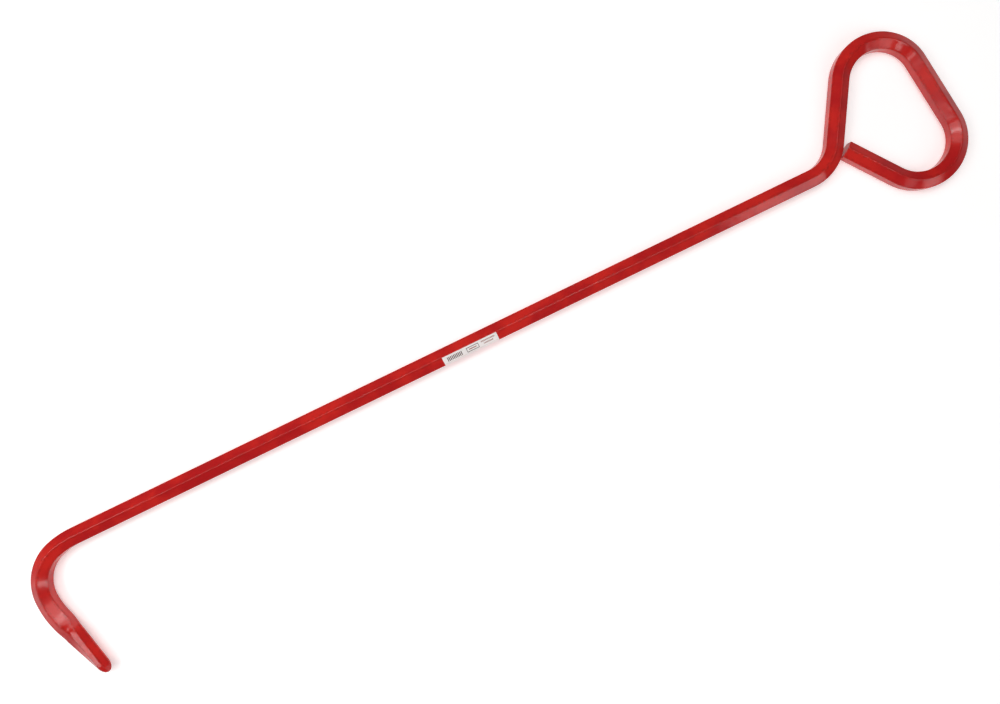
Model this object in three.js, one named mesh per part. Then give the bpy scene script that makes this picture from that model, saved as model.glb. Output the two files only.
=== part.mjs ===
// Manhole cover hook: one hexagonal steel bar with a drawn point, a bent hook at one end and a
// closed loop handle at the other, and an adhesive label on its shaft.
// Millimetres, +Z up. The tool lies flat on the lower corner of its bar, shaft along +X, with
// the handle at +X, the loop bent over to +Y and the hook bent over to -Y. The origin is under
// the middle of the tool, on the surface that it lies on.
import * as THREE from "three";

// ------------------------------------------------------------------ driving dimensions
// Bar: a hexagon with one corner up, so that its vertical flats face in and out of each bend.
const BAR_FLATS = 15.875; // across the flats, 5/8 inch
const BAR_CORNER_RADIUS = 0.9;
const WORKING_LENGTH = 914.4; // from the inside of the hook to the inside of the handle, 36 inches

// Hook. Bend radii are to the bar's centre line, and turns are in degrees.
const HOOK_RADIUS = 38.1;
const HOOK_TURN = 107.2; // whole bend, both easings included
const EASE_RADIUS = 76.2; // the bend starts and ends on this wider radius
const EASE_TURN = 16.9; // turn of each easing
const HOOK_LEG = 65.5; // straight leg past the bend, to the nose of the point

// Point: the end of the leg is drawn to a taper, flattened on top and below.
const POINT_LENGTH = 45; // taper, nose included
const POINT_ROOT = { width: 22.2, lean: 0.9, height: 12.6, flat: 5.2, flatOffset: -2.1 };
const POINT_NOSE = { width: 12.8, lean: -0.7, height: 11, flat: 4, flatOffset: 1.1 };
const POINT_EDGE_RADIUS = 2.2; // of the edge along each side of the point
const NOSE_LENGTH = 9.5; // rounded stretch at the very end
const RUN_IN_LENGTH = 16; // stretch where the hexagon turns into the point
const SHOULDER_LENGTH = 30; // stretch behind the run-in that spread in the forging
const SHOULDER_SPREAD = { inner: 1.085, outer: 1.04 }; // halves of the bar, against the plain bar

// Handle: the neck turns one way, and the two far corners turn back the other way.
const LOOP_RADIUS = 37.7;
const NECK_TURN = 59.35;
const NECK_LEG = 60; // straight side next to the shaft
const TOP_CORNER_TURN = 143.2;
const GRIP_LENGTH = 60.6; // straight far side, which the hand holds
const LOW_CORNER_TURN = 149.1;
const END_GAP = 1; // from the cut end of the bar to the neck that it closes on
const CUT_EDGE = 0.8; // chamfer round the cut end

// Label: a thin strip stuck on one upper flat, its lower edge wrapped on to the bar's corner.
const LABEL_LENGTH = 54;
const LABEL_FROM_NECK = 317.5; // from the end of the straight shaft to the label
const LABEL_THICKNESS = 0.2;
const LABEL_ADHESIVE = 0.1; // thickness of the glue between bar and label
const LABEL_WRAP = 25; // degrees that the lower edge follows the bar's corner

// ------------------------------------------------------------------ fineness of the mesh
const CORNER_STEPS = 4; // flats in each rounded corner of the section
const BEND_STEP = 3.6; // degrees between two rings in a bend
const NOSE_STEPS = 6;
const RUN_IN_STEPS = 6;
const SHOULDER_STEPS = 4;
const SHORTEST_STEP = 0.4; // rings closer together than this are left out
const CLOSING_STEP = 0.05; // how finely the length of the handle's last side is searched
const NECK_SAMPLE = 0.5; // spacing of the points on the neck that the cut end is held off

const { lerp, smoothstep, degToRad } = THREE.MathUtils;
const vector = (x, y) => new THREE.Vector2(x, y);

// ------------------------------------------------------------------ centre line
// The bar's centre line in plan, as a run of straights and bends that starts at the nose.
class BentLine {
  constructor(heading) {
    this.moves = [];
    this.end = { x: 0, y: 0, heading: degToRad(heading) };
    this.length = 0;
  }

  add(length, curvature) {
    const move = { from: this.length, to: this.length + length, start: this.end, curvature };
    this.moves.push(move);
    this.end = this.at(this.length + length);
    this.length += length;
    return this;
  }

  straight(length) {
    return this.add(length, 0);
  }

  // A positive turn is to the left, counter-clockwise from above.
  bend(radius, turn) {
    return this.add(radius * Math.abs(degToRad(turn)), Math.sign(turn) / radius);
  }

  at(distance) {
    const move = this.moves.find((m) => distance <= m.to) ?? this.moves.at(-1);
    const { x, y, heading } = move.start;
    const run = distance - move.from;
    if (move.curvature === 0) {
      return { x: x + run * Math.cos(heading), y: y + run * Math.sin(heading), heading };
    }
    const turned = heading + run * move.curvature;
    return {
      x: x + (Math.sin(turned) - Math.sin(heading)) / move.curvature,
      y: y - (Math.cos(turned) - Math.cos(heading)) / move.curvature,
      heading: turned,
    };
  }

  // Distances at which the bar needs a ring: both ends of each straight, and steps in each bend.
  stops() {
    return this.moves.flatMap(({ from, to, curvature }) => {
      const turn = Math.abs(THREE.MathUtils.radToDeg((to - from) * curvature));
      const steps = Math.max(1, Math.ceil(turn / BEND_STEP));
      return Array.from({ length: steps }, (_, i) => lerp(from, to, (i + 1) / steps));
    });
  }
}

function hookBend(line) {
  return line
    .bend(EASE_RADIUS, -EASE_TURN)
    .bend(HOOK_RADIUS, 2 * EASE_TURN - HOOK_TURN)
    .bend(EASE_RADIUS, -EASE_TURN);
}

function neckAfter(line) {
  return line.bend(LOOP_RADIUS, NECK_TURN).straight(NECK_LEG);
}

function handleAfter(line, lastSide) {
  return neckAfter(line)
    .bend(LOOP_RADIUS, -TOP_CORNER_TURN)
    .straight(GRIP_LENGTH)
    .bend(LOOP_RADIUS, -LOW_CORNER_TURN)
    .straight(lastSide);
}

// How far a run of bends reaches beyond the end of the straight shaft that it starts on.
function reachOf(line) {
  return Math.max(...line.stops().map((stop) => line.at(stop).x));
}

// Length of the last side that brings the cut end within END_GAP of the shaft and neck.
function closingLength() {
  const { x, y, heading } = handleAfter(new BentLine(0), 0).end;
  const [cos, sin] = [Math.cos(heading), Math.sin(heading)];
  const neck = neckAfter(new BentLine(0));
  const samples = Math.ceil(neck.length / NECK_SAMPLE);
  const neckPoints = Array.from({ length: samples }, (_, i) => neck.at(i * NECK_SAMPLE));
  const gapAt = (length) => {
    const gaps = [-BAR_FLATS / 2, BAR_FLATS / 2].map((across) => {
      const cornerX = x + length * cos - across * sin;
      const cornerY = y + length * sin + across * cos;
      return Math.min(...neckPoints.map((p) => Math.hypot(p.x - cornerX, p.y - cornerY)));
    });
    return Math.min(...gaps) - BAR_FLATS / 2;
  };
  let length = 0;
  while (gapAt(length) > END_GAP) length += CLOSING_STEP;
  return length;
}

const BENDS_REACH = reachOf(hookBend(new BentLine(0))) + reachOf(handleAfter(new BentLine(0), 0));
const SHAFT_LENGTH = WORKING_LENGTH + BAR_FLATS - BENDS_REACH;

function barToNeck() {
  return hookBend(new BentLine(HOOK_TURN).straight(HOOK_LEG)).straight(SHAFT_LENGTH);
}

function barLine() {
  return handleAfter(barToNeck(), closingLength());
}

// ------------------------------------------------------------------ section
// A section is six corners, from the top one round towards the inside of the hook. Each is
// [across, up, radius], with across positive towards the outside of the hook. The share says how
// much of the shoulder's spread is left.
function hexagonSection(share) {
  const reach = BAR_FLATS / Math.sqrt(3);
  return Array.from({ length: 6 }, (_, k) => {
    const angle = degToRad(90 + 60 * k);
    const across = reach * Math.cos(angle);
    const spread = across > 0 ? SHOULDER_SPREAD.outer : SHOULDER_SPREAD.inner;
    return [across * lerp(1, spread, share), reach * Math.sin(angle), BAR_CORNER_RADIUS];
  });
}

// The point's section is flat on top and below, and has an edge on each side. Its lean moves
// both edges outwards, and its flat offset moves the flats.
function pointSection(share) {
  const size = (key) => lerp(POINT_NOSE[key], POINT_ROOT[key], share);
  const [side, up, half] = [size("width") / 2, size("height") / 2, size("flat") / 2];
  const [lean, offset] = [size("lean"), size("flatOffset")];
  return [
    [offset + half, up, BAR_CORNER_RADIUS],
    [offset - half, up, BAR_CORNER_RADIUS],
    [lean - side, 0, POINT_EDGE_RADIUS],
    [offset - half, -up, BAR_CORNER_RADIUS],
    [offset + half, -up, BAR_CORNER_RADIUS],
    [lean + side, 0, POINT_EDGE_RADIUS],
  ];
}

// Corners of the bar's section at a distance from the nose, before they are rounded.
function sectionAt(distance) {
  const pastPoint = distance - POINT_LENGTH;
  if (pastPoint <= 0) return pointSection(distance / POINT_LENGTH);
  const pastRunIn = pastPoint - RUN_IN_LENGTH;
  const hexagon = hexagonSection(1 - smoothstep(pastRunIn, 0, SHOULDER_LENGTH));
  if (pastRunIn >= 0) return hexagon;
  const share = smoothstep(pastPoint, 0, RUN_IN_LENGTH);
  return pointSection(1).map((corner, k) => corner.map((v, i) => lerp(v, hexagon[k][i], share)));
}

// Outline of a section with its corners rounded, counter-clockwise.
function roundedOutline(corners) {
  const points = corners.map(([across, up]) => vector(across, up));
  return corners.flatMap(([, , radius], k) => {
    const corner = points[k];
    const before = points.at(k - 1).clone().sub(corner);
    const after = points[(k + 1) % points.length].clone().sub(corner);
    const halfAngle = Math.acos(before.dot(after) / (before.length() * after.length())) / 2;
    const inward = before.clone().normalize().add(after.clone().normalize()).normalize();
    const centre = corner.clone().addScaledVector(inward, radius / Math.sin(halfAngle));
    const half = Math.PI / 2 - halfAngle;
    const outward = Math.atan2(-inward.y, -inward.x);
    return Array.from({ length: CORNER_STEPS + 1 }, (_, i) => {
      const angle = outward + lerp(-half, half, i / CORNER_STEPS);
      return vector(centre.x + radius * Math.cos(angle), centre.y + radius * Math.sin(angle));
    });
  });
}

// ------------------------------------------------------------------ bar
const evenly = (from, length, steps) =>
  Array.from({ length: steps + 1 }, (_, i) => from + (length * i) / steps);

// Each ring is a distance along the centre line, a section and how far it is shrunk.
function barRings(line) {
  const rings = [];
  const add = (distance, section, scale) => rings.push({ distance, section, scale });
  for (let i = 1; i <= NOSE_STEPS; i += 1) {
    const angle = (i / NOSE_STEPS) * (Math.PI / 2);
    add(NOSE_LENGTH * (1 - Math.cos(angle)), sectionAt(NOSE_LENGTH), Math.sin(angle));
  }
  const distances = [
    ...evenly(POINT_LENGTH, RUN_IN_LENGTH, RUN_IN_STEPS),
    ...evenly(POINT_LENGTH + RUN_IN_LENGTH, SHOULDER_LENGTH, SHOULDER_STEPS),
    ...line.stops().filter((stop) => stop < line.length - CUT_EDGE),
    line.length - CUT_EDGE,
  ].sort((a, b) => a - b);
  distances
    .filter((distance, i) => i === 0 || distance - distances[i - 1] > SHORTEST_STEP)
    .forEach((distance) => add(distance, sectionAt(distance), 1));
  add(line.length, hexagonSection(0), 1 - (2 * CUT_EDGE) / BAR_FLATS);
  return rings;
}

// Skins a run of rings, all with the same number of points, and closes both ends.
function loft(line, rings) {
  const positions = [];
  for (const { distance, section, scale } of rings) {
    const { x, y, heading } = line.at(distance);
    for (const point of roundedOutline(section)) {
      const [across, up] = [point.x * scale, point.y * scale];
      positions.push(x - across * Math.sin(heading), y + across * Math.cos(heading), up);
    }
  }
  const around = positions.length / 3 / rings.length;
  const indices = [];
  for (let ring = 0; ring < rings.length - 1; ring += 1) {
    for (let i = 0; i < around; i += 1) {
      const next = (i + 1) % around;
      const [a, b] = [ring * around + i, ring * around + next];
      indices.push(a, b, b + around, a, b + around, a + around);
    }
  }
  const last = (rings.length - 1) * around;
  for (let i = 1; i < around - 1; i += 1) {
    indices.push(0, i + 1, i);
    indices.push(last, last + i, last + i + 1);
  }
  const geometry = new THREE.BufferGeometry();
  geometry.setAttribute("position", new THREE.Float32BufferAttribute(positions, 3));
  geometry.setIndex(indices);
  geometry.computeVertexNormals();
  return geometry;
}

const redPaint = new THREE.MeshStandardMaterial({
  color: 0xb21c1e,
  roughness: 0.32,
  metalness: 0,
});

function makeBar() {
  const line = barLine();
  const bar = new THREE.Mesh(loft(line, barRings(line)), redPaint);
  bar.name = "hook_bar";
  return bar;
}

// ------------------------------------------------------------------ label
const labelStock = new THREE.MeshStandardMaterial({
  color: 0xf4ebe8,
  roughness: 0.55,
  metalness: 0,
});

// The label's section: along the upper flat on the hook's side, then round part of the corner.
function labelShape() {
  const reach = BAR_FLATS / Math.sqrt(3) - BAR_CORNER_RADIUS / Math.cos(Math.PI / 6);
  const polar = (angle, radius) => vector(radius * Math.cos(angle), radius * Math.sin(angle));
  const topCentre = polar(degToRad(90), reach);
  const lowCentre = polar(degToRad(150), reach);
  const flatAngle = degToRad(120);
  const wrapAngle = flatAngle + degToRad(LABEL_WRAP);
  const near = BAR_CORNER_RADIUS + LABEL_ADHESIVE;
  const far = near + LABEL_THICKNESS;
  const start = polar(flatAngle, far).add(topCentre);
  const back = polar(flatAngle, near).add(topCentre);
  const shape = new THREE.Shape();
  shape.moveTo(start.x, start.y);
  shape.absarc(lowCentre.x, lowCentre.y, far, flatAngle, wrapAngle, false);
  shape.absarc(lowCentre.x, lowCentre.y, near, wrapAngle, flatAngle, true);
  shape.lineTo(back.x, back.y);
  return shape;
}

function makeLabel() {
  const geometry = new THREE.ExtrudeGeometry(labelShape(), {
    depth: LABEL_LENGTH,
    bevelEnabled: false,
    curveSegments: CORNER_STEPS,
  });
  // The section's across and up become the shaft's +Y and +Z, and its depth runs along +X.
  const upright = new THREE.Matrix4().makeBasis(
    new THREE.Vector3(0, 1, 0),
    new THREE.Vector3(0, 0, 1),
    new THREE.Vector3(1, 0, 0),
  );
  const label = new THREE.Mesh(geometry.applyMatrix4(upright), labelStock);
  label.name = "label";
  const neck = barToNeck().end;
  label.position.set(neck.x - LABEL_FROM_NECK - LABEL_LENGTH, neck.y, 0);
  return label;
}

// ------------------------------------------------------------------ the tool
const bar = makeBar();
const tool = new THREE.Group();
tool.add(bar, makeLabel());

// The bar's own box sets the origin: in the middle of the plan, on the surface below.
const box = new THREE.Box3().setFromObject(bar);
const middle = box.getCenter(new THREE.Vector3());
tool.position.set(-middle.x, -middle.y, -box.min.z);

const part = new THREE.Group();
part.add(tool);

export default part;
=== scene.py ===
"""Builds a painted steel manhole cover hook with its label, in a plain studio."""

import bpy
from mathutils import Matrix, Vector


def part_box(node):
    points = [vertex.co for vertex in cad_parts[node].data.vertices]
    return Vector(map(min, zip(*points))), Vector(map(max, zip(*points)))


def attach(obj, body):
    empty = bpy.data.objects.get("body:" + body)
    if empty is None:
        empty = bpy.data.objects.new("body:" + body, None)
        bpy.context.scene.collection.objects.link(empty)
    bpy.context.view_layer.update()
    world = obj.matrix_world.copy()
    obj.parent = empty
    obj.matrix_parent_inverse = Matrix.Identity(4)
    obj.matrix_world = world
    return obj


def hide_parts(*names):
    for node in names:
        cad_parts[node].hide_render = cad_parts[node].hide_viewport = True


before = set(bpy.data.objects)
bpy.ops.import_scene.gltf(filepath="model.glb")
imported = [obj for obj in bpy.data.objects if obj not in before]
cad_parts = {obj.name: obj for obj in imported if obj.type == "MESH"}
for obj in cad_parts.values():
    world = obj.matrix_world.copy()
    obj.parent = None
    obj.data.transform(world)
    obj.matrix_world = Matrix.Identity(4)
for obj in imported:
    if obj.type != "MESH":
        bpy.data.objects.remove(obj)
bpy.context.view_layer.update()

import math

import bmesh
import bpy
from mathutils import Matrix, Vector

bl_info = {
    "name": "Cover Hook",
    "version": (1, 0, 0),
    "blender": (4, 5, 0),
    "location": "3D View > Sidebar > Cover Hook",
    "description": "Builds a painted hexagonal bar hook, its label and a plain studio",
    "category": "Add Mesh",
}

TINY = 1e-6

# ------------------------------------------------------------------ fineness
CORNER_STEPS = 6  # short flats in each rounded corner of the bar's section
FLAT_CUTS = 7  # extra points on each flat of the section
NOSE_RINGS = 12
POINT_STEP = 0.0009  # between rings on the point and its shoulder
BEND_STEP = 0.0022
SHAFT_STEP = 0.004
CUT_RINGS = 4
LABEL_ROWS, LABEL_COLUMNS = 26, 60
LABEL_CROWDING = 0.75  # how strongly the label's rows gather at its long edges
FLOOR_SIDES = 96

# ------------------------------------------------------------------ section
HEXAGON = 6
TOP_CORNER = math.radians(90)  # directions round the section, seen along the shaft
LABEL_FLAT = math.radians(120)
LOW_CORNER = math.radians(150)
DOWN_THE_FLAT = math.radians(210)
EASE = 2.0  # radius at the start and end of the hook's bend, against its middle

# ------------------------------------------------------------------ surface
NOISE_SPAN = 2.0  # noise swings half of its span to each side
NOISE_MIDDLE = 0.5
# Each noise: its scale, detail and roughness.
WANDER = (22.0, 1.0, 0.5)  # shape of the whole bar
FORGING = (190.0, 1.0, 0.45)  # shape of the point
CLOUD = (38.0, 3.0, 0.55)  # paint
PATCH = (9.0, 2.0, 0.5)
FINE = (420.0, 2.0, 0.5)
PEEL = (620.0, 1.0, 0.4)
MARKS = (330.0, 2.0, 0.6)
FIBRE = (1500.0, 2.0, 0.6)  # label stock
STAIN = (90.0, 2.0, 0.5)
CLOUD_SHARE, PATCH_SHARE = 0.6, 0.4  # of the paint's mottling
MOTTLING = (0.38, 0.62)  # noise at which the paint starts and ends to deepen
EDGE_WEAR_RANGE, EDGE_WEAR = (0.35, 0.7), 0.55
CLOUD_GLOSS, FINE_GLOSS, FORGED_GLOSS = 0.10, 0.05, 0.06  # how much each changes roughness
PRINT_WEAR_RANGE, PRINT_WEAR = (0.55, 0.75), 0.35
STAIN_RANGE = (0.35, 0.7)
STOCK_ROUGHNESS, FIBRE_GLOSS, INK_GLOSS = 0.42, 0.12, 0.08
RIDGE_FROM, RIDGE_TO = 0.515, 0.535  # reach of the section, as a share of its flats
MOST_SMOOTH_NEIGHBOURS = 4.5  # faces with more are the flat ends
PEEL_DEPTH, CLOUD_DEPTH, MARK_DEPTH = 0.000022, 0.00034, 0.00026
FIBRE_DEPTH = 0.00001
PAINT_IOR, STOCK_IOR = 1.42, 1.46
STAIN_TINT = 0.96  # the label's darker patches, against its stock

# ------------------------------------------------------------------ studio
FLOOR_GLOW = 0.40
FLOOR_ROUGHNESS, FLOOR_SHINE = 0.9, 0.1
ROOM_LOW, ROOM_HIGH = 0.40, 0.03  # strength of the room at the floor and above
ROOM_FADE = 0.30  # height in the sky at which the room is dim
SENSOR_WIDTH = 36.0
NEAREST = 0.01


def linear(red, green, blue):
    """Scene-linear colour from display values of 0 to 255."""
    return tuple(
        (v / 255 / 12.92) if v <= 10 else ((v / 255 + 0.055) / 1.055) ** 2.4
        for v in (red, green, blue)
    )


# ------------------------------------------------------------------ settings
def length(name, description, default):
    return bpy.props.FloatProperty(
        name=name, description=description, default=default,
        min=0.0, precision=5, subtype="DISTANCE", unit="LENGTH",
    )


def offset(name, description, default):
    return bpy.props.FloatProperty(
        name=name, description=description, default=default,
        precision=5, subtype="DISTANCE", unit="LENGTH",
    )


def turn(name, description, degrees):
    return bpy.props.FloatProperty(
        name=name, description=description, default=math.radians(degrees),
        subtype="ANGLE", unit="ROTATION",
    )


def share(name, description, default):
    return bpy.props.FloatProperty(
        name=name, description=description, default=default,
        min=0.0, max=2.0, precision=3, subtype="FACTOR",
    )


def colour(name, description, display):
    return bpy.props.FloatVectorProperty(
        name=name, description=description, default=linear(*display),
        size=3, min=0.0, max=1.0, subtype="COLOR",
    )


class BarSizes(bpy.types.PropertyGroup):
    """The bar and its bends, from the point round to the cut end."""

    flats: length("Across flats", "Hexagon bar size", 0.015875)
    corner: length("Corner radius", "Rounding of the bar's six corners", 0.0009)
    hook_leg: length("Hook leg", "Straight leg past the hook's bend, point included", 0.0655)
    hook_radius: length("Hook radius", "To the bar's centre line", 0.0381)
    hook_turn: turn("Hook turn", "How far the hook is bent", 107.2)
    ease_turn: turn("Ease turn", "Wider start and end of the hook's bend, each", 16.9)
    shaft: length("Shaft", "Straight bar between hook and handle", 0.741458)
    loop_radius: length("Loop radius", "Of the handle's three bends", 0.0377)
    neck_turn: turn("Neck turn", "First bend of the handle", 59.35)
    neck_leg: length("Neck leg", "Handle's side between the neck and the top bend", 0.060)
    top_turn: turn("Top turn", "Bend between neck leg and grip", 143.2)
    grip: length("Grip", "Straight far side of the handle", 0.0606)
    low_turn: turn("Low turn", "Bend between the grip and the last side", 149.1)
    last_side: length("Last side", "From the last bend to the cut end", 0.05295)
    cut_edge: length("Cut edge", "Rounding of the cut end", 0.0008)
    unevenness: length("Unevenness", "How far the bar's surface wanders", 0.00005)


class PointSizes(bpy.types.PropertyGroup):
    """The drawn point at the end of the hook."""

    taper: length("Taper", "Length of the point, nose included", 0.045)
    nose: length("Nose", "Rounded stretch at the very end", 0.0095)
    run_in: length("Run-in", "Stretch where the hexagon turns into the point", 0.016)
    shoulder: length("Shoulder", "Stretch that spread behind the run-in", 0.030)
    outer_spread: share("Outer spread", "Outer half of the bar at the shoulder", 1.04)
    inner_spread: share("Inner spread", "Inner half of the bar at the shoulder", 1.085)
    root_width: length("Root width", "Across the point where it starts", 0.0222)
    root_height: length("Root height", "Thickness of the point where it starts", 0.0126)
    root_flat: length("Root flat", "Width of the top strip where it starts", 0.0052)
    root_strip: offset("Root strip", "How far out the top strip lies where it starts", -0.0028)
    root_lean: offset("Root lean", "How far out the whole point leans where it starts", 0.0009)
    nose_width: length("Nose width", "Across the point at its end", 0.0128)
    nose_height: length("Nose height", "Thickness of the point at its end", 0.011)
    nose_flat: length("Nose flat", "Width of the top strip at its end", 0.004)
    nose_strip: offset("Nose strip", "How far out the top strip lies at the end", 0.0011)
    nose_lean: offset("Nose lean", "How far out the whole point leans at its end", -0.0007)
    edge: length("Side edge", "Rounding of the point's two sides", 0.0022)
    hammering: length("Hammering", "Depth of the forging marks", 0.00014)


class LabelSizes(bpy.types.PropertyGroup):
    """The printed strip on the shaft."""

    thickness: length("Thickness", "Of the label stock", 0.0002)
    adhesive: length("Adhesive", "Glue between bar and label", 0.0001)
    wrap: turn("Wrap", "How far the lower edge follows the bar's corner", 25)
    corner: length("Corner radius", "Of the label's four corners", 0.0004)


class Finishes(bpy.types.PropertyGroup):
    """Colours and gloss."""

    enamel: colour("Enamel", "Main tone of the paint", (212, 43, 37))
    enamel_deep: colour("Deep enamel", "Tone where the paint is thick", (186, 30, 32))
    enamel_thin: colour("Thin enamel", "Tone along edges, where the paint is thin", (164, 38, 33))
    gloss: share("Paint roughness", "Lower is glossier", 0.14)
    stock: colour("Label stock", "Paper of the label", (255, 248, 246))
    ink: colour("Ink", "Main print", (92, 52, 50))
    pale_ink: colour("Pale ink", "Small print", (176, 120, 112))


class StudioSettings(bpy.types.PropertyGroup):
    """Camera, floor and light."""

    camera_height: length("Camera height", "Above the floor", 0.7161)
    camera_x: offset("Camera X", "Along the shaft", 0.00346)
    camera_y: offset("Camera Y", "Across the shaft", -0.00415)
    camera_turn: turn("Camera turn", "About its own axis", -25.846)
    lens: bpy.props.FloatProperty(
        name="Lens", description="Focal length in millimetres", default=28.0,
        subtype="DISTANCE_CAMERA", unit="CAMERA",
    )
    floor_radius: length("Floor radius", "Round the tool", 7.0)
    floor: colour("Floor", "Pale floor", (244, 243, 242))
    light: share("Light", "Strength of all the lights", 1.0)


# ------------------------------------------------------------------ node building
class Wire:
    """A node's output that can be used in a formula. Each operator adds its Math node."""

    def __init__(self, board, socket):
        self.board = board
        self.socket = socket

    def math(self, operation, *values):
        return self.board.make(
            "ShaderNodeMath", {"operation": operation}, dict(enumerate(values)))

    def __add__(self, other):
        return self.math("ADD", self, other)

    def __sub__(self, other):
        return self.math("SUBTRACT", self, other)

    def __rsub__(self, other):
        return self.math("SUBTRACT", other, self)

    def __mul__(self, other):
        return self.math("MULTIPLY", self, other)

    def __truediv__(self, other):
        return self.math("DIVIDE", self, other)

    def __gt__(self, other):
        return self.math("GREATER_THAN", self, other)

    def __lt__(self, other):
        return self.math("LESS_THAN", self, other)

    __radd__ = __add__
    __rmul__ = __mul__

    def clamped(self):
        return self.board.make(
            "ShaderNodeClamp", {}, {"Value": self, "Min": 0.0, "Max": 1.0})

    def ramp(self, low, high, to_low=0.0, to_high=1.0):
        """Smooth change from to_low to to_high as the value goes from low to high."""
        return self.board.make(
            "ShaderNodeMapRange", {"interpolation_type": "SMOOTHSTEP"},
            {"Value": self, "From Min": low, "From Max": high,
             "To Min": to_low, "To Max": to_high})


class Board:
    """A node tree that is being built."""

    def __init__(self, tree):
        self.tree = tree

    def node(self, kind, settings=None, inputs=None):
        """Adds any node. Settings come first, then the values or wires of its sockets."""
        node = self.tree.nodes.new(kind)
        for name, value in (settings or {}).items():
            setattr(node, name, value)
        for key, value in (inputs or {}).items():
            socket = self.socket(node.inputs, key)
            if isinstance(value, Wire):
                self.tree.links.new(value.socket, socket)
            else:
                socket.default_value = value
        return node

    @staticmethod
    def socket(sockets, key):
        """A socket by its place, its identifier or its name."""
        if isinstance(key, int):
            return sockets[key]
        for found in sockets:
            if found.identifier == key:
                return found
        return sockets[key]

    def out(self, node, key=0):
        return Wire(self, self.socket(node.outputs, key))

    def make(self, kind, settings=None, inputs=None, key=0):
        return self.out(self.node(kind, settings, inputs), key)

    # vectors
    def vector(self, operation, *values, **more):
        inputs = dict(enumerate(values))
        inputs.update(more)
        return self.make("ShaderNodeVectorMath", {"operation": operation}, inputs)

    def scaled(self, vector, scale):
        return self.vector("SCALE", vector, Scale=scale)

    def joined(self, x, y, z):
        return self.make("ShaderNodeCombineXYZ", {}, {"X": x, "Y": y, "Z": z})

    def split(self, vector):
        node = self.node("ShaderNodeSeparateXYZ", {}, {"Vector": vector})
        return [self.out(node, k) for k in range(3)]

    def mixed_vector(self, factor, first, second):
        return self.make(
            "ShaderNodeMix", {"data_type": "VECTOR"},
            {"Factor_Float": factor, "A_Vector": first, "B_Vector": second}, "Result_Vector")

    def mixed_colour(self, factor, first, second):
        def full(value):
            return value if isinstance(value, Wire) else (*value, 1.0)

        return self.make(
            "ShaderNodeMix", {"data_type": "RGBA", "blend_type": "MIX"},
            {"Factor_Float": factor, "A_Color": full(first), "B_Color": full(second)},
            "Result_Color")

    def noise(self, place, scale, detail, roughness, key=0):
        return self.make(
            "ShaderNodeTexNoise", {},
            {"Vector": place, "Scale": scale, "Detail": detail, "Roughness": roughness}, key)


# ------------------------------------------------------------------ centre line
class CentreLine:
    """The bar's centre line in plan, as straights and bends from the nose to the cut end."""

    def __init__(self, bar):
        self.moves = []
        self.end = (0.0, 0.0, bar.hook_turn)
        self.length = 0.0
        self.add(bar.hook_leg, 0.0)
        self.bend(EASE * bar.hook_radius, -bar.ease_turn)
        self.bend(bar.hook_radius, 2 * bar.ease_turn - bar.hook_turn)
        self.bend(EASE * bar.hook_radius, -bar.ease_turn)
        self.shaft_start = self.length
        self.add(bar.shaft, 0.0)
        self.shaft_end = self.length
        self.bend(bar.loop_radius, bar.neck_turn)
        self.add(bar.neck_leg, 0.0)
        self.bend(bar.loop_radius, -bar.top_turn)
        self.add(bar.grip, 0.0)
        self.bend(bar.loop_radius, -bar.low_turn)
        self.add(bar.last_side, 0.0)

    def add(self, run, curvature):
        self.moves.append((self.length, self.length + run, self.end, curvature))
        self.length += run
        self.end = self.at(self.length)

    def bend(self, radius, angle):
        self.add(radius * abs(angle), math.copysign(1 / radius, angle))

    def at(self, run):
        """Place and heading at a distance from the nose."""
        start, _, (x, y, heading), curvature = next(
            (move for move in self.moves if run <= move[1]), self.moves[-1])
        run -= start
        if not curvature:
            return x + run * math.cos(heading), y + run * math.sin(heading), heading
        turned = heading + run * curvature
        return (
            x + (math.sin(turned) - math.sin(heading)) / curvature,
            y - (math.cos(turned) - math.cos(heading)) / curvature,
            turned,
        )

    def stops(self, point, cut_edge):
        """Distances from the nose at which the bar needs a ring."""
        runs = []
        for ring in range(1, NOSE_RINGS + 1):
            runs.append(point.nose * (1 - math.cos(ring / NOSE_RINGS * math.pi / 2)))
        forged = point.taper + point.run_in + point.shoulder
        spans = [(point.nose, forged, POINT_STEP)]
        for start, end, _, curvature in self.moves:
            spans.append((max(start, forged), end, BEND_STEP if curvature else SHAFT_STEP))
        for start, end, step in spans:
            count = math.ceil((end - start) / step)
            runs.extend(start + (end - start) * (k + 1) / count for k in range(count))
        runs = [run for run in runs if run < self.length - cut_edge - TINY]
        for ring in range(CUT_RINGS + 1):
            angle = ring / CUT_RINGS * math.pi / 2
            runs.append(self.length - cut_edge * (1 - math.sin(angle)))
        return runs


def path_mesh(line, runs):
    """The centre line as a chain of edges that know their run and their outward side."""
    mesh = bpy.data.meshes.new("centre_line")
    places = [line.at(run) for run in runs]
    mesh.from_pydata(
        [(x, y, 0.0) for x, y, _ in places], [(k, k + 1) for k in range(len(runs) - 1)], [])
    mesh.attributes.new("run", "FLOAT", "POINT").data.foreach_set("value", runs)
    sides = [v for *_, h in places for v in (-math.sin(h), math.cos(h), 0.0)]
    mesh.attributes.new("side", "FLOAT_VECTOR", "POINT").data.foreach_set("vector", sides)
    return mesh


# ------------------------------------------------------------------ the bar's node tree
BAR_INPUTS = (
    "Flats", "Corner Radius", "Bar Length", "Cut Edge", "Unevenness",
    "Taper", "Nose", "Run-in", "Shoulder", "Outer Spread", "Inner Spread",
    "Root Width", "Root Height", "Root Flat", "Root Strip", "Root Lean",
    "Nose Width", "Nose Height", "Nose Flat", "Nose Strip", "Nose Lean",
    "Side Edge", "Hammering",
)


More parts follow.
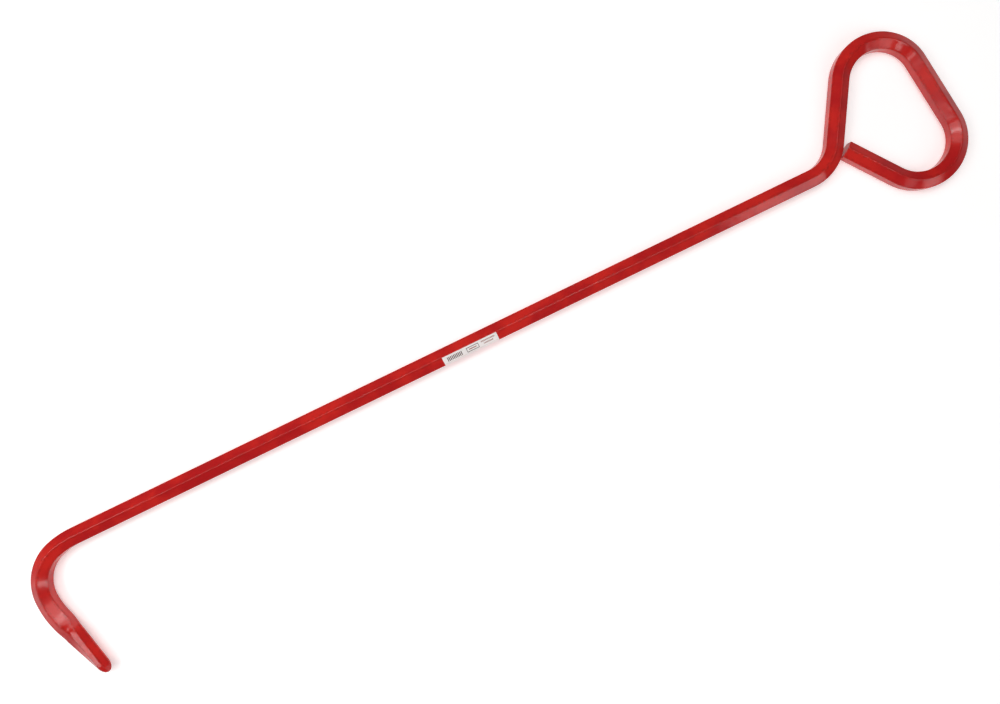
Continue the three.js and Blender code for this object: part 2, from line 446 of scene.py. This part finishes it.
def new_tree(name, number_names, material_name):
    """A geometry tree with a geometry input, number inputs and a material input."""
    tree = bpy.data.node_groups.new(name, "GeometryNodeTree")
    tree.interface.new_socket("Geometry", in_out="INPUT", socket_type="NodeSocketGeometry")
    for number_name in number_names:
        tree.interface.new_socket(number_name, in_out="INPUT", socket_type="NodeSocketFloat")
    tree.interface.new_socket(material_name, in_out="INPUT", socket_type="NodeSocketMaterial")
    tree.interface.new_socket("Geometry", in_out="OUTPUT", socket_type="NodeSocketGeometry")
    return tree


def by_corner(board, kind, values):
    """A value that differs from corner to corner of a section."""
    node = board.tree.nodes.new("GeometryNodeIndexSwitch")
    node.data_type = kind
    while len(node.index_switch_items) < len(values):
        node.index_switch_items.new()
    board.tree.links.new(board.make("GeometryNodeInputIndex").socket, node.inputs["Index"])
    for k, value in enumerate(values):
        if isinstance(value, Wire):
            board.tree.links.new(value.socket, node.inputs[k + 1])
        else:
            node.inputs[k + 1].default_value = value
    return board.out(node)


def section(board, corners, radii):
    """A six-cornered section, rounded, with extra points on its flats."""
    ring = board.make("GeometryNodeCurvePrimitiveCircle", {}, {"Resolution": HEXAGON})
    ring = board.make(
        "GeometryNodeSetPosition", {},
        {"Geometry": ring, "Position": by_corner(board, "VECTOR", corners)})
    ring = board.make(
        "GeometryNodeFilletCurve", {"mode": "POLY"},
        {"Curve": ring, "Count": CORNER_STEPS, "Radius": by_corner(board, "FLOAT", radii),
         "Limit Radius": False})
    place = board.make("GeometryNodeInputIndex")
    last = place.math("MODULO", place, CORNER_STEPS + 1) > CORNER_STEPS - 0.5
    return board.make(
        "GeometryNodeSubdivideCurve", {}, {"Curve": ring, "Cuts": last * FLAT_CUTS})


def point_corners(board, size, end):
    """Corners of the point's section, flat on top and below with an edge at each side."""
    width, height, flat, strip, lean = (
        size[end + part] for part in (" Width", " Height", " Flat", " Strip", " Lean"))
    side, up, half = width * 0.5, height * 0.5, flat * 0.5
    near, far = strip + half, strip - half
    return [
        board.joined(near, up, 0.0), board.joined(far, up, 0.0),
        board.joined(lean - side, 0.0, 0.0), board.joined(far, up * -1.0, 0.0),
        board.joined(near, up * -1.0, 0.0), board.joined(lean + side, 0.0, 0.0),
    ]


def bar_tree():
    """Sweeps the hexagon along the centre line and draws its start down to the point."""
    tree = new_tree("Bent hexagon bar", BAR_INPUTS, "Paint")
    board = Board(tree)
    source = board.node("NodeGroupInput")
    size = {name: board.out(source, name) for name in (*BAR_INPUTS, "Geometry", "Paint")}

    reach = size["Flats"] / math.sqrt(3)
    hexagon_corners = []
    for k in range(HEXAGON):
        angle = TOP_CORNER + k * math.tau / HEXAGON
        hexagon_corners.append(
            board.joined(reach * math.cos(angle), reach * math.sin(angle), 0.0))
    radius, edge = size["Corner Radius"], size["Side Edge"]
    point_radii = [radius, radius, edge, radius, radius, edge]
    hexagon = section(board, hexagon_corners, [radius] * HEXAGON)
    root = section(board, point_corners(board, size, "Root"), point_radii)
    nose = section(board, point_corners(board, size, "Nose"), point_radii)

    line = board.make("GeometryNodeMeshToCurve", {}, {"Mesh": size["Geometry"]})
    place = board.make("GeometryNodeInputPosition")
    run = named(board, "run", "FLOAT")
    side = named(board, "side", "FLOAT_VECTOR")
    line, centre = captured(board, line, place, "VECTOR")
    swept_profile, corner_index = captured(
        board, hexagon, board.make("GeometryNodeInputIndex"), "INT")
    bar = board.make(
        "GeometryNodeCurveToMesh", {},
        {"Curve": line, "Profile Curve": swept_profile, "Fill Caps": True})

    def sampled(profile):
        return board.make(
            "GeometryNodeSampleIndex", {"data_type": "FLOAT_VECTOR", "domain": "POINT"},
            {"Geometry": profile, "Value": place, "Index": corner_index})

    # Share of the way from nose to root, then from the point to the hexagon, then what is
    # left of the shoulder's spread.
    along_point = (run.math("MAXIMUM", run, size["Nose"]) / size["Taper"]).clamped()
    past_point = run - size["Taper"]
    to_hexagon = past_point.ramp(0.0, size["Run-in"])
    left = (past_point - size["Run-in"]).ramp(0.0, size["Shoulder"], 1.0, 0.0)
    across, up, _ = board.split(sampled(hexagon))
    outer = across > 0.0
    spread = size["Inner Spread"] + outer * (size["Outer Spread"] - size["Inner Spread"])
    full = board.joined(across * (1.0 + left * (spread - 1.0)), up, 0.0)
    drawn = board.mixed_vector(along_point, sampled(nose), sampled(root))
    across_now, up_now, _ = board.split(board.mixed_vector(to_hexagon, drawn, full))

    # The nose closes as a quarter round, and so does the edge of the cut end.
    short = (1.0 - run / size["Nose"]).clamped()
    nose_scale = run.math("SQRT", 1.0 - short * short)
    last = ((run - size["Bar Length"]) / size["Cut Edge"] + 1.0).clamped()
    inset = size["Cut Edge"] * (1.0 - run.math("SQRT", (1.0 - last * last).clamped()))
    scale = nose_scale * (1.0 - 2.0 * inset / size["Flats"])

    # Rolling and forging leave the surface slightly uneven.
    wander = board.noise(place, *WANDER, "Color")
    still = (NOISE_MIDDLE, NOISE_MIDDLE, NOISE_MIDDLE)
    wander = board.scaled(board.vector("SUBTRACT", wander, still), size["Unevenness"])
    marks = board.noise(place, *FORGING, "Color")
    forged = past_point.ramp(0.0, size["Run-in"], 1.0, 0.0) * nose_scale
    marks = board.scaled(
        board.vector("SUBTRACT", marks, still), forged * size["Hammering"])

    bar = board.make("GeometryNodeSetPosition", {}, {
        "Geometry": bar,
        "Position": board.vector(
            "ADD",
            board.vector("ADD", centre, board.scaled(side, across_now * scale)),
            board.joined(0.0, 0.0, up_now * scale)),
    })
    bar = board.make("GeometryNodeSetPosition", {}, {
        "Geometry": bar, "Offset": board.vector("ADD", wander, marks)})
    ridge = (board.make(
        "ShaderNodeVectorMath", {"operation": "LENGTH"}, {0: sampled(hexagon)}, "Value",
    ) / size["Flats"]).ramp(RIDGE_FROM, RIDGE_TO)
    bar = board.make(
        "GeometryNodeStoreNamedAttribute", {"data_type": "FLOAT", "domain": "POINT"},
        {"Geometry": bar, "Name": "ridge", "Value": ridge})
    neighbours = board.make("GeometryNodeInputMeshFaceNeighbors")
    bar = board.make(
        "GeometryNodeSetShadeSmooth", {"domain": "FACE"},
        {"Geometry": bar, "Shade Smooth": neighbours < MOST_SMOOTH_NEIGHBOURS})
    bar = board.make("GeometryNodeRealizeInstances", {}, {"Geometry": bar})
    bar = board.make(
        "GeometryNodeSetMaterial", {}, {"Geometry": bar, "Material": size["Paint"]})
    board.node("NodeGroupOutput", {}, {"Geometry": bar})
    return tree


def named(board, name, kind):
    return board.make(
        "GeometryNodeInputNamedAttribute", {"data_type": kind}, {"Name": name}, "Attribute")


def captured(board, geometry, value, kind):
    """The geometry with a value kept on its points, and that value."""
    node = board.tree.nodes.new("GeometryNodeCaptureAttribute")
    node.domain = "POINT"
    node.capture_items.new(kind, "kept")
    board.tree.links.new(geometry.socket, node.inputs["Geometry"])
    board.tree.links.new(value.socket, node.inputs[1])
    return board.out(node, 0), board.out(node, 1)


def grown(mesh, tree, values, name):
    """A plain mesh from a tree run on a mesh, with the tree's inputs given by name."""
    seed = bpy.data.objects.new(name + "_seed", mesh)
    bpy.context.scene.collection.objects.link(seed)
    modifier = seed.modifiers.new("Grow", "NODES")
    modifier.node_group = tree
    for item in tree.interface.items_tree:
        if item.item_type == "SOCKET" and item.in_out == "INPUT" and item.name in values:
            modifier[item.identifier] = values[item.name]
    made = bpy.data.meshes.new_from_object(
        seed.evaluated_get(bpy.context.evaluated_depsgraph_get()))
    bpy.data.objects.remove(seed)
    bpy.data.meshes.remove(mesh)
    made.name = name
    return made


def facing_out(mesh):
    """Turns a closed mesh's faces outwards if they point in."""
    work = bmesh.new()
    work.from_mesh(mesh)
    if work.calc_volume(signed=True) < 0:
        bmesh.ops.reverse_faces(work, faces=work.faces)
    work.to_mesh(mesh)
    work.free()


def added(name, mesh):
    """A new object at the origin that shows a mesh."""
    piece = bpy.data.objects.new(name, mesh)
    bpy.context.scene.collection.objects.link(piece)
    return piece


def path_shift(line, bar, point):
    """How far the centre line has to move to lie in the packed bar."""
    low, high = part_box("hook_bar")
    places = [line.at(run) for run in line.stops(point, bar.cut_edge)]
    half = bar.flats / 2
    # Extremes of the bar in plan: its flats face sideways, so it reaches half its flats.
    top = max(y + half * abs(math.cos(h)) for _, y, h in places)
    right = max(x + half * abs(math.sin(h)) for x, _, h in places)
    return Vector((high[0] - right, high[1] - top, (low[2] + high[2]) / 2))


# ------------------------------------------------------------------ materials
def new_material(name):
    material = bpy.data.materials.new(name)
    material.use_nodes = True
    material.node_tree.nodes.clear()
    return material, Board(material.node_tree)


def finish_material(board, **inputs):
    surface = board.node("ShaderNodeBsdfPrincipled", {}, inputs)
    board.node("ShaderNodeOutputMaterial", {}, {"Surface": board.out(surface)})


def object_place(board):
    return board.make("ShaderNodeTexCoord", {}, {}, "Object")


def attribute(board, name):
    return board.make(
        "ShaderNodeAttribute", {"attribute_type": "GEOMETRY", "attribute_name": name}, {}, "Fac")


def bumped(board, height, distance, normal=None):
    inputs = {"Height": height, "Distance": distance, "Strength": 1.0}
    if normal is not None:
        inputs["Normal"] = normal
    return board.make("ShaderNodeBump", {}, inputs)


def red_enamel(finish, point):
    """Glossy red enamel with a light orange peel, thinner along the bar's corners."""
    material, board = new_material("red_enamel")
    place = object_place(board)
    run = attribute(board, "run")
    ridge = attribute(board, "ridge")
    forged = run.ramp(point.taper, point.taper + point.run_in, 1.0, 0.0)

    cloud = board.noise(place, *CLOUD)
    patch = board.noise(place, *PATCH)
    fine = board.noise(place, *FINE)
    peel = board.noise(place, *PEEL)
    marks = board.noise(place, *MARKS)

    depth = (cloud * CLOUD_SHARE + patch * PATCH_SHARE).ramp(*MOTTLING)
    colour_now = board.mixed_colour(depth, tuple(finish.enamel), tuple(finish.enamel_deep))
    thin = ridge * fine.ramp(*EDGE_WEAR_RANGE) * EDGE_WEAR
    colour_now = board.mixed_colour(thin, colour_now, tuple(finish.enamel_thin))

    roughness = finish.gloss + (cloud - NOISE_MIDDLE) * CLOUD_GLOSS
    roughness = roughness + (fine - NOISE_MIDDLE) * FINE_GLOSS + forged * FORGED_GLOSS
    normal = bumped(board, peel, PEEL_DEPTH)
    normal = bumped(board, cloud, CLOUD_DEPTH, normal)
    normal = bumped(board, marks * forged, MARK_DEPTH, normal)
    finish_material(board, **{
        "Base Color": colour_now, "Roughness": roughness, "Normal": normal,
        "IOR": PAINT_IOR,
    })
    return material


# Printed rectangles, as shares of the label: left, right, top and bottom.
BARS_FROM, BARS_TO = 0.075, 0.355
BARS = (BARS_FROM, BARS_TO, 0.22, 0.74)
BADGE = (0.43, 0.65, 0.20, 0.76)
BADGE_INSIDE = (0.438, 0.642, 0.27, 0.69)
BADGE_BAR = (0.47, 0.61, 0.42, 0.54)
RULE = (0.02, 0.98, 0.86, 0.885)
UPPER_DASHES = (0.70, 0.95, 0.20, 0.36)
LOWER_DASHES = (0.74, 0.91, 0.50, 0.66)
DASHES_PER_LABEL = 44.0
DASH_GAP = 0.3  # blank share of each dash's pitch
BAR_PITCH = 0.028
BAR_SHARE = 0.55  # how much of its pitch each bar fills


def box_mask(along, across, left, right, top, bottom):
    """One inside a rectangle of the label, zero outside."""
    return (along > left) * (along < right) * (across > top) * (across < bottom)


def printed_stock(finish):
    """White label stock with plain printed marks in two inks."""
    material, board = new_material("printed_stock")
    uv = board.make("ShaderNodeUVMap", {"uv_map": "UVMap"}, {}, "UV")
    along, across, _ = board.split(uv)
    place = object_place(board)
    fibre = board.noise(place, *FIBRE)
    stain = board.noise(place, *STAIN)

    # A block of upright bars, then an outlined badge with a bar in it.
    bars = (along - BARS_FROM) / BAR_PITCH
    gaps = bars.math("FRACT", bars) < BAR_SHARE
    dark = gaps * box_mask(along, across, *BARS)
    badge = box_mask(along, across, *BADGE)
    hollow = box_mask(along, across, *BADGE_INSIDE)
    bar = box_mask(along, across, *BADGE_BAR)
    rule = box_mask(along, across, *RULE)
    dark = dark.math("MAXIMUM", dark, badge * (1.0 - hollow))
    # Two rows of small dashes, and a rule along the lower edge.
    dashes = along * DASHES_PER_LABEL
    dashes = dashes.math("FRACT", dashes) > DASH_GAP
    rows = box_mask(along, across, *UPPER_DASHES)
    rows = rows.math("MAXIMUM", rows, box_mask(along, across, *LOWER_DASHES))
    pale = rows * dashes
    pale = pale.math("MAXIMUM", pale, bar)
    pale = pale.math("MAXIMUM", pale, rule * 0.5)

    worn = 1.0 - fibre.ramp(*PRINT_WEAR_RANGE) * PRINT_WEAR
    tint = tuple(v * STAIN_TINT for v in finish.stock)
    colour_now = board.mixed_colour(stain.ramp(*STAIN_RANGE), tuple(finish.stock), tint)
    colour_now = board.mixed_colour(dark * worn, colour_now, tuple(finish.ink))
    colour_now = board.mixed_colour(pale * worn, colour_now, tuple(finish.pale_ink))
    roughness = STOCK_ROUGHNESS + (fibre - NOISE_MIDDLE) * FIBRE_GLOSS - dark * INK_GLOSS
    normal = bumped(board, fibre, FIBRE_DEPTH)
    finish_material(board, **{
        "Base Color": colour_now, "Roughness": roughness, "Normal": normal, "IOR": STOCK_IOR})
    return material


# ------------------------------------------------------------------ operators
class COVERHOOK_OT_bar(bpy.types.Operator):
    """Make the bent hexagon bar with its drawn point and closed handle"""

    bl_idname = "coverhook.bar"
    bl_label = "Hook Bar"

    def execute(self, context):
        scene = context.scene
        bar, point = scene.coverhook_bar, scene.coverhook_point
        line = CentreLine(bar)
        runs = line.stops(point, bar.cut_edge)
        mesh = grown(path_mesh(line, runs), bar_tree(), {
            "Flats": bar.flats, "Corner Radius": bar.corner, "Bar Length": line.length,
            "Cut Edge": bar.cut_edge, "Unevenness": bar.unevenness * NOISE_SPAN,
            "Taper": point.taper, "Nose": point.nose, "Run-in": point.run_in,
            "Shoulder": point.shoulder,
            "Outer Spread": point.outer_spread, "Inner Spread": point.inner_spread,
            "Root Width": point.root_width, "Root Height": point.root_height,
            "Root Flat": point.root_flat, "Root Strip": point.root_strip,
            "Root Lean": point.root_lean, "Nose Width": point.nose_width,
            "Nose Height": point.nose_height, "Nose Flat": point.nose_flat,
            "Nose Strip": point.nose_strip, "Nose Lean": point.nose_lean,
            "Side Edge": point.edge, "Hammering": point.hammering * NOISE_SPAN,
            "Paint": red_enamel(scene.coverhook_finish, point),
        }, "hook_bar_painted")
        mesh.transform(Matrix.Translation(path_shift(line, bar, point)))
        facing_out(mesh)
        piece = added("hook_bar_painted", mesh)
        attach(piece, "root")
        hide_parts("hook_bar")
        return {"FINISHED"}


class COVERHOOK_OT_label(bpy.types.Operator):
    """Make the printed label on the shaft's upper flat"""

    bl_idname = "coverhook.label"
    bl_label = "Label"

    def execute(self, context):
        scene = context.scene
        mesh = label_mesh(scene.coverhook_bar, scene.coverhook_label)
        mesh.materials.append(printed_stock(scene.coverhook_finish))
        piece = added("label_printed", mesh)
        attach(piece, "root")
        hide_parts("label")
        return {"FINISHED"}


def label_mesh(bar, label):
    """The label as a thin curved sheet with rounded corners, printed face outwards."""
    low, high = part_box("label")
    bar_low, bar_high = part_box("hook_bar")
    height = (bar_low[2] + bar_high[2]) / 2
    reach = bar.flats / math.sqrt(3) - bar.corner / math.cos(math.pi / 6)
    outer = bar.corner + label.adhesive + label.thickness
    flat = reach  # between the centres of two neighbouring corners
    width = flat + outer * label.wrap
    rows, columns = LABEL_ROWS, LABEL_COLUMNS

    # The label's outer face starts a known way to the side of the shaft's centre line.
    centre_y = high[1] - outer * math.cos(LABEL_FLAT)

    def towards(angle):
        return Vector((math.cos(angle), math.sin(angle)))

    def place(down, lift):
        """Across and up from the centre line at a distance down the label's width."""
        radius = bar.corner + label.adhesive + lift
        if down <= flat:
            start = Vector((0.0, reach))
            return start + towards(DOWN_THE_FLAT) * down + towards(LABEL_FLAT) * radius
        turned = LABEL_FLAT + (down - flat) / outer
        return towards(LOW_CORNER) * reach + towards(turned) * radius

    def half_length(down):
        edge = min(down, width - down)
        inset = 0.0
        if edge < label.corner:
            inset = label.corner - math.sqrt(label.corner**2 - (label.corner - edge) ** 2)
        return (high[0] - low[0]) / 2 - inset

    downs = []
    for k in range(rows + 1):
        t = k / rows
        crowded = t - math.sin(math.tau * t) / math.tau * LABEL_CROWDING
        downs.append(width * crowded)
    middle = (low[0] + high[0]) / 2
    work = bmesh.new()
    uv_layer = work.loops.layers.uv.new("UVMap")
    grid = {}
    for side, lift in (("top", label.thickness), ("back", 0.0)):
        for i, down in enumerate(downs):
            across, up = place(down, lift)
            for j in range(columns + 1):
                along = (2 * j / columns - 1) * half_length(down)
                vertex = work.verts.new((middle + along, centre_y + across, height + up))
                grid[side, i, j] = vertex
    spot = {}
    for (side, i, j), vertex in grid.items():
        u = (vertex.co.x - low[0]) / (high[0] - low[0])
        spot[vertex] = (u, downs[i] / width)

    def face(*keys):
        made = work.faces.new([grid[key] for key in keys])
        for loop in made.loops:
            loop[uv_layer].uv = spot[loop.vert]
        return made

    for i in range(rows):
        for j in range(columns):
            face(("top", i, j), ("top", i + 1, j), ("top", i + 1, j + 1), ("top", i, j + 1))
            face(("back", i, j), ("back", i, j + 1), ("back", i + 1, j + 1), ("back", i + 1, j))
    rim = [(0, j) for j in range(columns)] + [(i, columns) for i in range(rows)]
    rim += [(rows, j) for j in range(columns, 0, -1)] + [(i, 0) for i in range(rows, 0, -1)]
    for (i, j), (k, m) in zip(rim, rim[1:] + rim[:1]):
        face(("top", i, j), ("top", k, m), ("back", k, m), ("back", i, j))
    bmesh.ops.recalc_face_normals(work, faces=work.faces)
    mesh = bpy.data.meshes.new("label_printed")
    work.to_mesh(mesh)
    work.free()
    facing_out(mesh)
    for polygon in mesh.polygons:
        polygon.use_smooth = False
    return mesh


class COVERHOOK_OT_studio(bpy.types.Operator):
    """Lay the floor, hang the lights and set the camera"""

    bl_idname = "coverhook.studio"
    bl_label = "Studio"

    def execute(self, context):
        scene = context.scene
        studio = scene.coverhook_studio
        lay_floor(studio)
        hang_lights(studio)
        light_room(scene)
        set_camera(scene, studio)
        scene.view_settings.view_transform = "Standard"
        return {"FINISHED"}


def lay_floor(studio):
    work = bmesh.new()
    bmesh.ops.create_circle(
        work, cap_ends=True, segments=FLOOR_SIDES, radius=studio.floor_radius)
    mesh = bpy.data.meshes.new("floor")
    work.to_mesh(mesh)
    work.free()
    material, board = new_material("pale_floor")
    finish_material(board, **{
        "Base Color": (*studio.floor, 1.0), "Roughness": FLOOR_ROUGHNESS,
        "Specular IOR Level": FLOOR_SHINE,
        "Emission Color": (1.0, 1.0, 1.0, 1.0), "Emission Strength": FLOOR_GLOW,
    })
    mesh.materials.append(material)
    floor = added("floor", mesh)
    floor.location.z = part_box("hook_bar")[0][2] - TINY


# Each light: name, where it hangs, what it faces, its width and depth, and its radiance.
LIGHTS = (
    ("ceiling_north_west", (-1.20, 0.60, 1.50), (-1.20, 0.60, 0.0), (1.20, 0.80), 4.2),
    ("ceiling_north", (0.20, 0.75, 1.50), (0.20, 0.75, 0.0), (1.60, 0.40), 1.6),
    ("panel_north", (-0.05, 0.18, 1.49), (-0.05, 0.18, 0.0), (1.10, 0.30), 2.4),
    ("strip_north", (-0.05, 0.39, 1.48), (-0.05, 0.39, 0.0), (1.10, 0.12), 9.0),
    ("panel_south", (0.22, -0.70, 1.48), (0.22, -0.70, 0.0), (0.36, 0.30), 5.5),
    ("panel_middle", (-0.34, -0.24, 1.48), (-0.34, -0.24, 0.0), (0.26, 0.20), 4.5),
    ("ceiling_west", (-1.40, -0.30, 1.50), (-1.40, -0.30, 0.0), (0.60, 0.40), 7.0),
    ("ceiling_south_east", (0.70, -1.10, 1.50), (0.70, -1.10, 0.0), (0.70, 0.70), 2.0),
    ("ceiling_south", (0.70, -1.70, 1.50), (0.70, -1.70, 0.0), (1.40, 0.40), 1.4),
    ("low_north", (-0.2, 2.20, 0.45), (0.0, 0.0, 0.45), (2.60, 0.50), 1.8),
    ("low_south", (0.33, -2.16, 0.45), (0.0, 0.0, 0.45), (1.73, 0.50), 1.5),
    ("softbox_south", (1.00, -1.10, 0.70), (0.36, 0.0, 0.0), (0.56, 0.32), 2.6),
)


def hang_lights(studio):
    for name, place, target, (width, depth), radiance in LIGHTS:
        lamp = bpy.data.lights.new(name, "AREA")
        lamp.shape = "RECTANGLE"
        lamp.size, lamp.size_y = width, depth
        lamp.energy = radiance * studio.light * math.pi * width * depth
        light = added(name, lamp)
        light.location = place
        away = Vector(place) - Vector(target)
        light.rotation_euler = away.to_track_quat("Z", "Y").to_euler()
        light.visible_camera = False


def light_room(scene):
    """A dim room whose walls are pale near the floor."""
    world = bpy.data.worlds.new("room")
    scene.world = world
    world.use_nodes = True
    world.node_tree.nodes.clear()
    board = Board(world.node_tree)
    direction = board.make("ShaderNodeTexCoord", {}, {}, "Generated")
    _, _, height = board.split(direction)
    glow = height.ramp(0.0, ROOM_FADE, ROOM_LOW, ROOM_HIGH)
    shade = board.make("ShaderNodeBackground", {}, {"Color": (1, 1, 1, 1), "Strength": glow})
    board.node("ShaderNodeOutputWorld", {}, {"Surface": shade})


def set_camera(scene, studio):
    lens = bpy.data.cameras.new("camera")
    lens.lens = studio.lens
    lens.sensor_width = SENSOR_WIDTH
    lens.sensor_fit = "HORIZONTAL"
    lens.clip_start = NEAREST
    camera = added("camera", lens)
    camera.location = (studio.camera_x, studio.camera_y, studio.camera_height)
    camera.rotation_euler = (0.0, 0.0, studio.camera_turn)
    scene.camera = camera


class COVERHOOK_PT_panel(bpy.types.Panel):
    """The hook's sizes and the steps that build it"""

    bl_idname = "COVERHOOK_PT_panel"
    bl_label = "Cover Hook"
    bl_space_type = "VIEW_3D"
    bl_region_type = "UI"
    bl_category = "Cover Hook"

    def draw(self, context):
        for operator in OPERATORS:
            self.layout.operator(operator.bl_idname)
        for name, group in SETTINGS.items():
            box = self.layout.box()
            box.label(text=group.__doc__)
            for key in group.__annotations__:
                box.prop(getattr(context.scene, name), key)


SETTINGS = {
    "coverhook_bar": BarSizes,
    "coverhook_point": PointSizes,
    "coverhook_label": LabelSizes,
    "coverhook_finish": Finishes,
    "coverhook_studio": StudioSettings,
}
OPERATORS = (COVERHOOK_OT_studio, COVERHOOK_OT_bar, COVERHOOK_OT_label)
CLASSES = (*SETTINGS.values(), *OPERATORS, COVERHOOK_PT_panel)


def register():
    for kind in CLASSES:
        bpy.utils.register_class(kind)
    for name, group in SETTINGS.items():
        setattr(bpy.types.Scene, name, bpy.props.PointerProperty(type=group))


def unregister():
    for name in SETTINGS:
        delattr(bpy.types.Scene, name)
    for kind in reversed(CLASSES):
        bpy.utils.unregister_class(kind)


def main():
    register()
    bpy.ops.coverhook.studio()
    bpy.ops.coverhook.bar()
    bpy.ops.coverhook.label()


if __name__ == "__main__":
    main()
